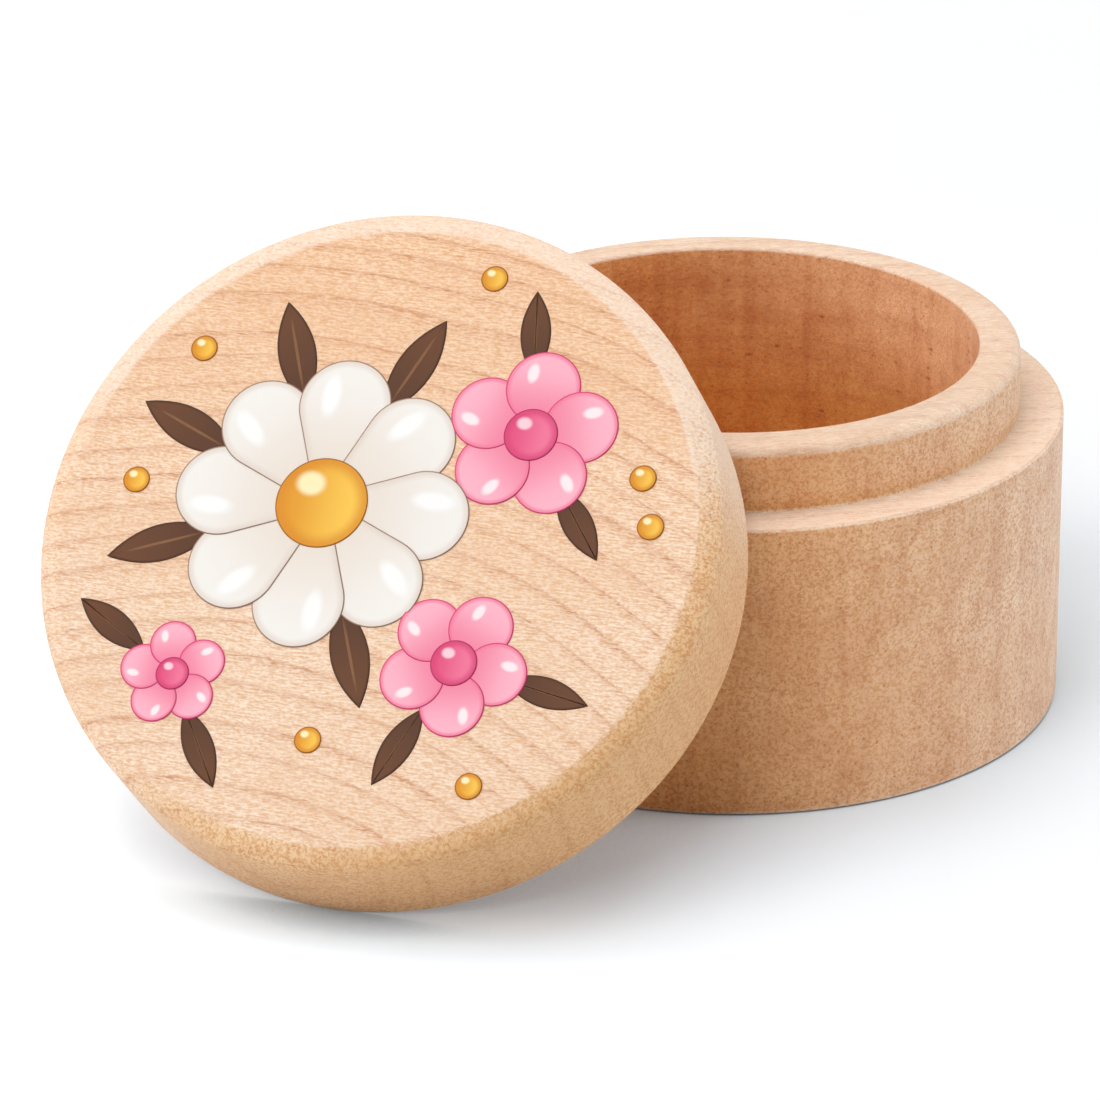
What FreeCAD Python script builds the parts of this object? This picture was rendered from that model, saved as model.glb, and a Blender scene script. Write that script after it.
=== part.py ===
import FreeCAD, Part
import math
import os

from FreeCAD import Vector

# A turned wooden keepsake box: a round base with a spigot, and a push-on lid with a printed face.
# The lid is off, and leans on the front of the base with its lower edge on the table.
# Frame: origin at the centre of the base's underside, +Z up, and the lid on the -Y side.
# Lengths are in millimetres and angles in degrees.

# Both pieces
BOX_RADIUS = 25.0  # outside of the base and of the lid
SHOULDER_WIDTH = 3.3  # ledge on the base that the closed lid sits on
FIT_CLEARANCE = 0.2  # between the spigot and the lid's socket, all round
SEAT_CLEARANCE = 0.3  # between the rim and the socket's ceiling when the box is closed

# Base
BASE_HEIGHT = 22.6  # table to shoulder
SPIGOT_HEIGHT = 5.1  # shoulder to rim
RIM_WIDTH = 3.1  # wall of the spigot
FLOOR_THICKNESS = 4.6  # wood under the cavity
CAVITY_COVE = 2.5  # hollow corner between the cavity's wall and its floor
FOOT_ROUND = 0.4
SHOULDER_ROUND = 0.25
RIM_OUTER_ROUND = 0.9
RIM_INNER_ROUND = 0.3

# Lid
LID_HEIGHT = 10.0
FACE_BEVEL_WIDTH = 1.55  # shallow bevel round the printed face, seen from above
FACE_BEVEL_DROP = 0.5  # how far the bevel falls
FACE_CREASE_ROUND = 1.0  # where the face meets the bevel
FACE_EDGE_ROUND = 1.0  # where the bevel meets the side
LID_MOUTH_ROUND = 0.3  # outer edge of the lid's mouth
SOCKET_MOUTH_ROUND = 0.3  # inner edge of the lid's mouth
SOCKET_COVE = 0.6  # corner between the socket's wall and its ceiling

# How the lid leans
LID_TILT = 46.8  # from lying flat
LID_TURN = -16.5  # about the vertical
LID_SIDE_SHIFT = 15.0  # from the base's axis to the lid's, to the -X side, along the lid's foot
LEAN_GAP = 0.1  # air between the leaning lid and the base
LEAN_TOLERANCE = 0.001  # how closely the gap is found

# Print: the design is sized by the flat face, so its own sizes are shares of the print radius
INK_THICKNESS = 0.08
PRINT_MARGIN = 1.45  # bare wood between the print and the bevel
WHITE_FLOWER_PLACE_SHARES = (-0.2, 0.08)
WHITE_FLOWER_SHARE = 0.5  # reach of its petals
WHITE_PETAL_COUNT = 8
BLOSSOM_PLACES_SHARES = ((0.44, 0.4), (0.36, -0.4), (-0.56, -0.56))
BLOSSOM_SHARES = (0.29, 0.25, 0.18)  # reach of each blossom's petals
BLOSSOM_TURNS = (16, -8, 30)
BLOSSOM_PETAL_COUNT = 5
BERRY_PLACES_SHARES = (
    (0.84, 0.3), (0.9, 0.14), (0.2, 0.92), (-0.72, 0.56), (-0.84, 0.08), (-0.06, -0.72), (0.5, -0.8)
)
BERRY_SHARE = 0.045  # radius
WHITE_FLOWER_LEAF_SHARE = 0.38  # length
BLOSSOM_LEAF_SHARE = 0.3
LEAF_WIDTH_SHARE = 0.34  # of its own length
LEAF_ROOT_SHARE = 0.7  # how far out under its flower's petals a leaf starts, of the flower's reach
WHITE_FLOWER_LEAF_ANGLES = (68, 112, 158, 202, 293)
BLOSSOM_LEAF_ANGLES = ((100, -52), (-10, 248), (150, 302))

# Outline of one petal, as shares of its flower's reach
PETAL_TIP_SHARE = 0.31  # radius of its round tip
PETAL_ROOT_SHARE = 0.12  # radius of its narrow end
PETAL_ROOT_PLACE_SHARE = 0.2
BLOSSOM_TIP_SHARE = 0.43
DISC_SHARE = 0.31  # radius of the flower's centre

# Sizes that follow from these
SPIGOT_RADIUS = BOX_RADIUS - SHOULDER_WIDTH
MOUTH_RADIUS = SPIGOT_RADIUS - RIM_WIDTH
RIM_HEIGHT = BASE_HEIGHT + SPIGOT_HEIGHT
SOCKET_RADIUS = SPIGOT_RADIUS + FIT_CLEARANCE
SOCKET_DEPTH = SPIGOT_HEIGHT + SEAT_CLEARANCE
PRINT_RADIUS = BOX_RADIUS - FACE_BEVEL_WIDTH - PRINT_MARGIN

UP = Vector(0, 0, 1)
CENTRE = Vector(0, 0, 0)


def rounded_outline(corners):
    """Closed wire in the XZ plane through (radius, height, rounding) corners, rounded by tangent arcs."""
    points = [Vector(radius, 0, height) for radius, height, rounding in corners]
    ends = []
    arcs = []
    for index, corner in enumerate(points):
        rounding = corners[index][2]
        if rounding == 0:
            ends.append((corner, corner))
            continue
        back = (points[index - 1] - corner).normalize()
        ahead = (points[(index + 1) % len(points)] - corner).normalize()
        half_angle = back.getAngle(ahead) / 2
        inward = (back + ahead).normalize()
        tangent_length = rounding / math.tan(half_angle)
        crown = corner + inward * (rounding / math.sin(half_angle) - rounding)
        start = corner + back * tangent_length
        end = corner + ahead * tangent_length
        ends.append((start, end))
        arcs.append(Part.Arc(start, crown, end).toShape())
    lines = []
    for index, (start, end) in enumerate(ends):
        lines.append(Part.LineSegment(ends[index - 1][1], start).toShape())
    return Part.Wire(Part.__sortEdges__(lines + arcs))


def turned(corners):
    """Solid of revolution about the Z axis."""
    return Part.Face(rounded_outline(corners)).revolve(CENTRE, UP, 360)


def box_base():
    return turned([
        (0, 0, 0),
        (BOX_RADIUS, 0, FOOT_ROUND),
        (BOX_RADIUS, BASE_HEIGHT, SHOULDER_ROUND),
        (SPIGOT_RADIUS, BASE_HEIGHT, 0),
        (SPIGOT_RADIUS, RIM_HEIGHT, RIM_OUTER_ROUND),
        (MOUTH_RADIUS, RIM_HEIGHT, RIM_INNER_ROUND),
        (MOUTH_RADIUS, FLOOR_THICKNESS, CAVITY_COVE),
        (0, FLOOR_THICKNESS, 0),
    ])


def box_lid():
    """The lid in its own frame: mouth down at Z = 0, axis on Z."""
    return turned([
        (0, SOCKET_DEPTH, 0),
        (SOCKET_RADIUS, SOCKET_DEPTH, SOCKET_COVE),
        (SOCKET_RADIUS, 0, SOCKET_MOUTH_ROUND),
        (BOX_RADIUS, 0, LID_MOUTH_ROUND),
        (BOX_RADIUS, LID_HEIGHT - FACE_BEVEL_DROP, FACE_EDGE_ROUND),
        (BOX_RADIUS - FACE_BEVEL_WIDTH, LID_HEIGHT, FACE_CREASE_ROUND),
        (0, LID_HEIGHT, 0),
    ])


def ink(edges, place_shares, angle):
    """Ink film inside a closed outline, laid on the lid's face at a place given in print radii."""
    film = Part.Face(Part.Wire(edges)).extrude(UP * INK_THICKNESS)
    across, along = place_shares
    film.rotate(CENTRE, UP, angle)
    film.translate(Vector(across * PRINT_RADIUS, along * PRINT_RADIUS, LID_HEIGHT))
    return film


def petal_edges(reach, tip_radius):
    """Petal along +X: a round tip and a smaller round root, joined by their common tangents."""
    root_radius = PETAL_ROOT_SHARE * reach
    root_place = PETAL_ROOT_PLACE_SHARE * reach
    tip_place = reach - tip_radius
    slant = math.acos((root_radius - tip_radius) / (tip_place - root_place))
    out = Vector(math.cos(slant), math.sin(slant), 0)
    back = Vector(math.cos(slant), -math.sin(slant), 0)
    root = Vector(root_place, 0, 0)
    tip = Vector(tip_place, 0, 0)
    root_end = Vector(root_place - root_radius, 0, 0)
    return [
        Part.LineSegment(root + out * root_radius, tip + out * tip_radius).toShape(),
        Part.Arc(tip + out * tip_radius, Vector(reach, 0, 0), tip + back * tip_radius).toShape(),
        Part.LineSegment(tip + back * tip_radius, root + back * root_radius).toShape(),
        Part.Arc(root + back * root_radius, root_end, root + out * root_radius).toShape(),
    ]


def petals(reach, tip_share, count, place_shares, first_angle):
    """Ring of petals as one film."""
    edges = petal_edges(reach, tip_share * reach)
    ring = [ink(edges, place_shares, first_angle + 360 * turn / count) for turn in range(count)]
    return ring[0].multiFuse(ring[1:]).removeSplitter()


def dot(radius, place_shares):
    """Round film, such as a berry or the centre of a flower."""
    return ink([Part.Circle(CENTRE, UP, radius).toShape()], place_shares, 0)


def leaf(flower_place_shares, flower_share, length_share, angle):
    """Pointed leaf between two arcs, growing out from under the petals of a flower."""
    across, along = flower_place_shares
    root = LEAF_ROOT_SHARE * flower_share
    turn = math.radians(angle)
    place_shares = (across + root * math.cos(turn), along + root * math.sin(turn))
    length = length_share * PRINT_RADIUS
    half_width = LEAF_WIDTH_SHARE * length / 2
    tip = Vector(length, 0, 0)
    upper = Part.Arc(CENTRE, Vector(length / 2, half_width, 0), tip).toShape()
    lower = Part.Arc(tip, Vector(length / 2, -half_width, 0), CENTRE).toShape()
    return ink([upper, lower], place_shares, angle)


def leaves():
    """Every leaf of the design: those of the white flower, then those of the blossoms."""
    flowers = [
        (WHITE_FLOWER_PLACE_SHARES, WHITE_FLOWER_SHARE, WHITE_FLOWER_LEAF_SHARE, WHITE_FLOWER_LEAF_ANGLES)
    ]
    for place, share, angles in zip(BLOSSOM_PLACES_SHARES, BLOSSOM_SHARES, BLOSSOM_LEAF_ANGLES):
        flowers.append((place, share, BLOSSOM_LEAF_SHARE, angles))
    return [leaf(place, share, length, angle) for place, share, length, angles in flowers for angle in angles]


def print_films():
    """Films by node name, front colours first; each later film is cut round the ones before it."""
    white_reach = WHITE_FLOWER_SHARE * PRINT_RADIUS
    reaches = [share * PRINT_RADIUS for share in BLOSSOM_SHARES]
    films = {
        "ink_gold_disc": [dot(DISC_SHARE * white_reach, WHITE_FLOWER_PLACE_SHARES)],
        "ink_white_flower": [
            petals(white_reach, PETAL_TIP_SHARE, WHITE_PETAL_COUNT, WHITE_FLOWER_PLACE_SHARES, 0)
        ],
        "ink_blossom_discs": [
            dot(DISC_SHARE * reach, place) for reach, place in zip(reaches, BLOSSOM_PLACES_SHARES)
        ],
        "ink_pink_blossoms": [
            petals(reach, BLOSSOM_TIP_SHARE, BLOSSOM_PETAL_COUNT, place, first_angle)
            for reach, place, first_angle in zip(reaches, BLOSSOM_PLACES_SHARES, BLOSSOM_TURNS)
        ],
        "ink_gold_berries": [dot(BERRY_SHARE * PRINT_RADIUS, place) for place in BERRY_PLACES_SHARES],
        "ink_brown_leaves": leaves(),
    }
    in_front = []
    cut_films = {}
    for name, shapes in films.items():
        if in_front:
            shapes = [shape.cut(in_front) for shape in shapes]
        in_front += shapes
        cut_films[name] = Part.makeCompound([solid for shape in shapes for solid in shape.Solids])
    return cut_films


def leaning_placement(base, lid):
    """Tilts and turns the lid, stands its edge on the table, and slides it up to the base."""
    turn = FreeCAD.Rotation(UP, LID_TURN)
    rotation = turn * FreeCAD.Rotation(Vector(1, 0, 0), LID_TILT)
    side = turn.multVec(Vector(-1, 0, 0)) * LID_SIDE_SHIFT
    forward = turn.multVec(Vector(0, -1, 0))
    tilt = math.radians(LID_TILT)
    foot_height = (BOX_RADIUS - LID_MOUTH_ROUND) * math.sin(tilt) + LID_MOUTH_ROUND * (1 - math.cos(tilt))
    distance = BOX_RADIUS + BOX_RADIUS + LID_HEIGHT
    spare = distance
    while spare > LEAN_TOLERANCE:
        placement = FreeCAD.Placement(side + forward * distance + UP * foot_height, rotation)
        placed = lid.copy()
        placed.Placement = placement
        spare = base.distToShape(placed)[0] - LEAN_GAP
        distance -= spare
    return placement


def main():
    os.makedirs("parts", exist_ok=True)
    base = box_base()
    lid = box_lid()
    placement = leaning_placement(base, lid)
    nodes = {"box_lid": lid}
    nodes.update(print_films())
    for shape in nodes.values():
        shape.Placement = placement
    nodes["box_base"] = base
    for name, shape in nodes.items():
        shape.exportStep("parts/" + name + ".step")
    print("lid's mouth centre", placement.Base, "face normal", placement.Rotation.multVec(UP))


main()
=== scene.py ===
# %% [markdown]
# A turned beech tooth box
#
# The box has two wooden pieces, both turned on a lathe: a base with a hollow for milk teeth, and a
# lid that pushes over the base's raised rim. Here the lid is off and leans on the base. The CAD model
# holds the sizes. This lesson gives the two pieces their looks: edges rounded by sandpaper, the
# figure of beech, and a printed flower design on the lid.

# %% Load the CAD model
import math

import bmesh
import bpy
from mathutils import Euler, Matrix, Vector


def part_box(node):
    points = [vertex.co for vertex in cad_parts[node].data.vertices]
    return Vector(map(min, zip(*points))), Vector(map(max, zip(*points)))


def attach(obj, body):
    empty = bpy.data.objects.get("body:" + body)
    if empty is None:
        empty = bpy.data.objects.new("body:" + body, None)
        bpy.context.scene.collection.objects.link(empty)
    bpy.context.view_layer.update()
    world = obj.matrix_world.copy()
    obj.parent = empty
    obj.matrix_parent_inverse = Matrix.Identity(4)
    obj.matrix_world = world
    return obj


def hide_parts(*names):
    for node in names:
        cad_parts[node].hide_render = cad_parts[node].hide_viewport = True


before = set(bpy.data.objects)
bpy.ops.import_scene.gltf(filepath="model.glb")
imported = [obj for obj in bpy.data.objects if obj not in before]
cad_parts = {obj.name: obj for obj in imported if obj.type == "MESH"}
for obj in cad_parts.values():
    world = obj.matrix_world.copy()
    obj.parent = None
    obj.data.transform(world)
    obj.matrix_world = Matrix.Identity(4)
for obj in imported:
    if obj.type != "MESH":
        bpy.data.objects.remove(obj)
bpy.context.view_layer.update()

MM = 0.001

# %% [markdown]
# The camera
#
# A photograph taken from far away with a long lens keeps circles close to true ellipses. The distance,
# the height and the lens were worked out from the ellipses of the rim, the shoulder and the foot. The
# lens is given in pixels first, because that is what can be measured on a picture, and Blender's
# lens in millimetres follows from the width of its sensor.

# %% Camera
IMAGE_PIXELS = 1100
LENS_PIXELS = 7367
SENSOR_WIDTH = 36.0
CAMERA_DISTANCE = 560.6 * MM
CAMERA_ELEVATION = math.radians(24.233)
CAMERA_TILT = math.radians(23.266)
CAMERA_PAN = math.radians(-1.504)

lens = bpy.data.cameras.new("table_camera")
lens.sensor_width = SENSOR_WIDTH
lens.lens = SENSOR_WIDTH * LENS_PIXELS / IMAGE_PIXELS
camera = bpy.data.objects.new("table_camera", lens)
camera.location = (
    0,
    -CAMERA_DISTANCE * math.cos(CAMERA_ELEVATION),
    CAMERA_DISTANCE * math.sin(CAMERA_ELEVATION),
)
camera.rotation_euler = (math.pi / 2 - CAMERA_TILT, 0, -CAMERA_PAN)
bpy.context.collection.objects.link(camera)
bpy.context.scene.camera = camera
bpy.context.scene.view_settings.view_transform = "Standard"
print("lens", round(lens.lens, 1), "mm")

# %% [markdown]
# Helpers for materials
#
# Colours are easiest to compare with a picture as sRGB hex values, but Blender's nodes work in linear
# light, so one function converts them. A second one adds a node with its settings and its links, which
# keeps each material readable as a list of steps. It puts ShaderNode before the kind, as Blender's names
# begin that way. It takes the inputs by name, or in the order in which the node shows them from top to
# bottom. For Map Range that is the value, the two ends it comes from and the two ends it goes to. Where a
# link is wanted a whole node can be given, and its first output is used.

# %% Colour and node helpers
SMOOTH = {"interpolation_type": "SMOOTHSTEP"}


def linear(hex_colour):
    """Linear RGBA for an sRGB hex colour such as F2CCAC."""
    channels = [int(hex_colour[start:start + 2], 16) / 255 for start in (0, 2, 4)]
    curve = [c / 12.92 if c <= 0.04045 else ((c + 0.055) / 1.055) ** 2.4 for c in channels]
    return (*curve, 1.0)


def add_node(tree, kind, inputs=(), **settings):
    """One new node. settings go on the node; inputs go on its sockets, as values, links or nodes."""
    node = tree.nodes.new("ShaderNode" + kind)
    for name, value in settings.items():
        setattr(node, name, value)
    for socket, value in inputs.items() if isinstance(inputs, dict) else enumerate(inputs):
        if isinstance(value, bpy.types.Node):
            value = next(output for output in value.outputs if output.enabled)
        if isinstance(value, bpy.types.NodeSocket):
            tree.links.new(value, node.inputs[socket])
        else:
            node.inputs[socket].default_value = value
    return node


def new_material(name):
    """An empty node material with its output, ready for a shader."""
    material = bpy.data.materials.new(name)
    material.use_nodes = True
    material.node_tree.nodes.clear()
    output = add_node(material.node_tree, "OutputMaterial")
    return material, material.node_tree, output


print("mid grey 808080 is", round(linear("808080")[0], 3), "in linear light")

# %% [markdown]
# Studio floor
#
# The box stands on a large sheet of white paper.

# %% Paper floor
PAPER_SIZE = 4.0
PAPER_DEPTH = 0.02 * MM

bm = bmesh.new()
bmesh.ops.create_grid(bm, x_segments=1, y_segments=1, size=PAPER_SIZE / 2)
bmesh.ops.translate(bm, verts=bm.verts, vec=(0, 0, -PAPER_DEPTH))
paper_mesh = bpy.data.meshes.new("paper_floor")
bm.to_mesh(paper_mesh)
bm.free()
paper = bpy.data.objects.new("paper_floor", paper_mesh)
bpy.context.collection.objects.link(paper)
print("paper", PAPER_SIZE, "m wide")

# %% [markdown]
# In a picture of this kind the paper is burnt out to white and only a pale shadow is left on it. The Light
# Path node makes that possible without more light on the wood: rays from the camera see lit paper with a
# faint glow of its own, which lifts the open paper to white. The glow fades from left to right, as it does
# on a sweep of paper that is lit from one side, and far from the box the paper is plain white. All other
# rays meet plain matt paper.
#
# Wood throws warm light on paper, and a camera set for white paper shows shadows cooler than that. So the
# Ambient Occlusion node finds the paper near the box and paints it cooler. Where the lid and the paper
# almost touch, the same node paints a dark contact shadow.

# %% White paper
PAPER_SEEN = "F9FCFF"
PAPER_BOUNCE = "F4F4F4"
SHADOW_TINT = "CCEAFF"
TINT_REACH = 28 * MM
CONTACT_SHADOW = "6E7A81"
CONTACT_OPENNESS = 0.45
LEFT_GLOW = 0.37
RIGHT_GLOW = 0.065
GLOW_LEFT = -42 * MM
GLOW_RIGHT = 16 * MM
WHITE_FROM = 90 * MM
WHITE_BEYOND = 220 * MM


def seen_directly(tree):
    """1 for rays from the camera, from mirrors and through glass, and 0 for light on its way round."""
    rays = add_node(tree, "LightPath").outputs
    mirrored = add_node(tree, "Math", (rays["Is Glossy Ray"], rays["Is Transmission Ray"]))
    return add_node(tree, "Math", (rays["Is Camera Ray"], mirrored), use_clamp=True)


def shaded_paper(tree):
    """The paper's colour with a painted shadow near the box, and how free a place is: 0 at the lid, 1 in the
    open.
    """
    openness = add_node(tree, "AmbientOcclusion", {"Distance": TINT_REACH}).outputs["AO"]
    free = add_node(tree, "MapRange", (openness, 0.0, CONTACT_OPENNESS))
    cooling = {0: openness, 6: linear(SHADOW_TINT), 7: linear(PAPER_SEEN)}
    cooled = add_node(tree, "Mix", cooling, data_type="RGBA")
    # painted contact shadow: the darkest paper, where the lid almost touches it
    touching = {0: free, 6: linear(CONTACT_SHADOW), 7: cooled}
    return add_node(tree, "Mix", touching, data_type="RGBA"), free


def paper_glow(tree, place, free):
    """The glow that lifts open paper to white, stronger on the left."""
    sideways = add_node(tree, "SeparateXYZ", (place,)).outputs["X"]
    sweep = (sideways, GLOW_LEFT, GLOW_RIGHT, LEFT_GLOW, RIGHT_GLOW)
    graded = add_node(tree, "MapRange", sweep)
    strength = add_node(tree, "Math", (graded, free), operation="MULTIPLY")
    return add_node(tree, "Emission", {"Color": linear(PAPER_SEEN), "Strength": strength})


material, tree, output = new_material("white_paper")
place = add_node(tree, "TexCoord").outputs["Object"]
matt = add_node(tree, "BsdfDiffuse", {"Color": linear(PAPER_BOUNCE)})
seen_colour, free = shaded_paper(tree)
lit = add_node(tree, "BsdfDiffuse", {"Color": seen_colour})
near_paper = add_node(tree, "AddShader", (lit, paper_glow(tree, place, free)))
far_paper = add_node(tree, "Emission", {"Color": (1, 1, 1, 1)})
away = add_node(tree, "VectorMath", (place,), operation="LENGTH")
faded = add_node(tree, "MapRange", (away, WHITE_FROM, WHITE_BEYOND))
burnt_out = add_node(tree, "MixShader", (faded, near_paper, far_paper))
surface = add_node(tree, "MixShader", (seen_directly(tree), matt, burnt_out))
tree.links.new(surface.outputs[0], output.inputs["Surface"])
paper_mesh.materials.append(material)
print("white_paper", len(tree.nodes), "nodes")

# %% [markdown]
# Light
#
# Two large lamps do most of the work. One hangs overhead and lights the rim and the shoulder. The key lamp
# stands high at the left of the camera and lights the lid's face. Two weaker ones stand low at the sides and
# let the round walls brighten towards their edges. Large lamps make soft shadows. The walls of the studio
# give next to no light, so the hollow stays dark.

# %% Lamps and walls
WALL_LIGHT = 0.05
AIM = Vector((-0.01, -0.01, 0.015))
LAMPS = {                          # where each one hangs, its width in metres and its power in watts
    "top_lamp": (Vector((-0.02, 0.2, 1.1)), 1.2, 7.9),
    "key_lamp": (Vector((-0.42, -0.67, 0.85)), 0.9, 6.6),
    "left_lamp": (Vector((-1.1, -0.1, 0.3)), 0.5, 3.9),
    "right_lamp": (Vector((1.1, 0.1, 0.3)), 0.5, 4.6),
}

world = bpy.data.worlds.new("white_studio")
bpy.context.scene.world = world
world.use_nodes = True
tree = world.node_tree
tree.nodes.clear()
wall_strength = add_node(tree, "MapRange", (seen_directly(tree), 0.0, 1.0, WALL_LIGHT))
walls = add_node(tree, "Background", {"Color": (1, 1, 1, 1), "Strength": wall_strength})
add_node(tree, "OutputWorld", {"Surface": walls})

for name, (place, size, power) in LAMPS.items():
    lamp = bpy.data.lights.new(name, "AREA")
    lamp.shape = "DISK"
    lamp.size = size
    lamp.energy = power
    lamp_object = bpy.data.objects.new(name, lamp)
    lamp_object.location = place
    lamp_object.rotation_euler = (AIM - place).to_track_quat("-Z", "Y").to_euler()
    bpy.context.collection.objects.link(lamp_object)
    print(name, power, "W")

# %% [markdown]
# Where the lid lies
#
# The lid leans on the base, so its round form is easiest to model upright and then lay in place. The two
# angles of the lean give three directions: to the right along the face, up the face, and straight out
# of it. Measuring the CAD lid along those directions gives its middle, its radius and its height.

# %% Measure the lid
LID_TILT = math.radians(46.8)
LID_TURN = math.radians(-16.5)
lid_rotation = Euler((LID_TILT, 0, LID_TURN)).to_matrix()
lid_right, lid_up, lid_out = lid_rotation.col

lid_points = [vertex.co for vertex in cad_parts["box_lid"].data.vertices]
right_reach = [point.dot(lid_right) for point in lid_points]
up_reach = [point.dot(lid_up) for point in lid_points]
out_reach = [point.dot(lid_out) for point in lid_points]

LID_RADIUS = (max(right_reach) - min(right_reach)) / 2
LID_HEIGHT = max(out_reach) - min(out_reach)
lid_mouth = (
    lid_right * (max(right_reach) + min(right_reach)) / 2
    + lid_up * (max(up_reach) + min(up_reach)) / 2
    + lid_out * min(out_reach)
)
lid_matrix = Matrix.Translation(lid_mouth) @ lid_rotation.to_4x4()
print("lid radius", round(LID_RADIUS / MM, 2), "height", round(LID_HEIGHT / MM, 2), "mm")

# %% [markdown]
# The marks in beech
#
# Beech is a pale, pinkish wood with marks that the eye knows. Thin darker lines show where each year's
# growth stopped, and the wood darkens a little before each of them. Short brown dashes, cut rays and
# vessels, lie along the grain. Between them run very fine fibres, light and dark. All of them
# belong to the wood, not to its surface, so they are worked out in three dimensions: it is as if the box
# were cut out of a block, and every mark runs on over an edge. Where a surface cuts across the fibres, the
# same dashes show their ends as a fine speckle.
#
# Fibres, nap and soft patches are noise that is squeezed to their size in millimetres. A patch begins where
# its noise passes one value and is full where it passes a second.

# %% Fibres and patches
FIBRE_SIZE = (0.9, 0.13, 0.13)     # mm along and across the fibres; real ones are finer, and would not show
NOISE_ROUGHNESS = 0.65

# Each kind of patch: size in mm, detail, where it begins and is full, and its least and greatest share
LINE_PATCH = (2.0, 0.35, 0.35), 1.0, (0.4, 0.6), (0.2, 1.0)   # stretches where a growth line is darker
CLOUD = (18.0, 9.0, 9.0), 1.0, (0.3, 0.7), (0.0, 0.3)         # broad darker areas
PATCH = (2.6, 2.6, 3.4), 2.0, (0.35, 0.7), (0.0, 0.25)        # warmer places on a cut wall
BAND = (1.4, 1.4, 40.0), 1.0, (0.4, 0.7), (0.0, 1.0)          # bands up a wall where a cutter tore the nap
STAIN = (14.0, 14.0, 1.6), 2.0, (0.45, 0.7), (0.0, 0.22)      # darker streaks round the hollow


def per(sizes):
    """A pattern's scale from its sizes in millimetres."""
    return tuple(1 / size for size in sizes)


def stretched_noise(tree, wood, sizes, detail, twist=0.0):
    """Noise drawn out along the fibres, and twisted where the nap curls."""
    squeezed = add_node(tree, "VectorMath", (wood, per(sizes)), operation="MULTIPLY")
    inputs = {"Vector": squeezed, "Scale": 1.0, "Detail": detail, "Roughness": NOISE_ROUGHNESS}
    return add_node(tree, "TexNoise", {**inputs, "Distortion": twist})


def patches(tree, wood, sizes, detail, limits, shares):
    """The share of a tint at each place: the greatest inside a patch, and the least between patches."""
    noise = stretched_noise(tree, wood, sizes, detail)
    return add_node(tree, "MapRange", (noise, *limits, *shares), **SMOOTH)


print("fibres", *FIBRE_SIZE, "mm")

# %% [markdown]
# Small separate marks are scattered with a Voronoi texture, one to a cell. Each cell also has a colour drawn
# by chance. One channel of it decides whether the mark is there at all, so the marks never stand in rows.

# %% Scattered marks
# Each kind: mm from one mark to the next, how far a mark reaches in its cell, and the chance it must beat
DASH = (2.2, 0.2, 0.3), (0.14, 0.34), (0.4, 0.8)
PORE = (0.5, 0.5, 0.5), (0.1, 0.28), (0.3, 0.9)
SPECK = (1.7, 1.7, 0.9), (0.0, 0.22), (0.6, 0.85)
FLECK = (1.8, 1.8, 1.1), (0.0, 0.26), (0.75, 0.95)


def scattered(tree, wood, sizes, reach, chance):
    """1 inside a mark, and 0 between marks."""
    squeezed = add_node(tree, "VectorMath", (wood, per(sizes)), operation="MULTIPLY")
    cell = add_node(tree, "TexVoronoi", {"Vector": squeezed, "Scale": 1.0}).outputs
    inside = add_node(tree, "MapRange", (cell["Distance"], *reach, 1.0, 0.0), **SMOOTH)
    drawn = add_node(tree, "SeparateColor", (cell["Color"],)).outputs[0]
    there = add_node(tree, "MapRange", (drawn, *chance), **SMOOTH)
    return add_node(tree, "Math", (inside, there), operation="MULTIPLY")


print("dashes", *DASH[0], "mm apart")

# %% [markdown]
# Growth lines are shells about the pith, the tree's middle. A Mapping node set to Texture moves its origin
# to the pith and squashes the shells, and the length of the vector then says how far out a point lies. The
# whole part of that number is the year, and the fraction is how much of that year's wood had grown.

# %% Growth lines
GROWTH_WIDTH = 2.27                # mm from one growth line to the next
GROWTH_UNEVENNESS = 0.9            # how far a line strays, in growth widths
UNEVENNESS_PACE = 0.45             # how fast that changes from year to year
SWAY_LENGTH = 16.0                 # mm over which the lines wander
SWAY_WIDTH = 1.4                   # mm by which they wander
FRAY = 0.25                        # growth widths by which fibres fray a line
LATE_START = 0.55                  # shares of a year's growth
LINE_START = 0.87
LINE_FULL = 0.95
LINE_STOP = 0.97
FAINTEST_LINE = 0.45


def grown_wood(tree, wood, fibre, pith, shell_scale):
    """How many years of wood lie between a point and the pith, with swaying, uneven, frayed shells."""
    sway = add_node(tree, "TexNoise", {"Vector": wood, "Scale": 1 / SWAY_LENGTH, "Detail": 1.0})
    swaying = (sway.outputs["Color"], (SWAY_WIDTH, SWAY_WIDTH, SWAY_WIDTH), wood)
    swayed = add_node(tree, "VectorMath", swaying, operation="MULTIPLY_ADD")
    placing = {"Vector": swayed, "Location": pith, "Scale": shell_scale}
    from_pith = add_node(tree, "Mapping", placing, vector_type="TEXTURE")
    radius = add_node(tree, "VectorMath", (from_pith,), operation="LENGTH")
    shells = add_node(tree, "Math", (radius, GROWTH_WIDTH), operation="DIVIDE")
    pace = {"W": shells, "Scale": UNEVENNESS_PACE}
    years = add_node(tree, "TexNoise", pace, noise_dimensions="1D")
    frayed = add_node(tree, "Math", (fibre, FRAY, shells), operation="MULTIPLY_ADD")
    return add_node(tree, "Math", (years, GROWTH_UNEVENNESS, frayed), operation="MULTIPLY_ADD")


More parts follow.
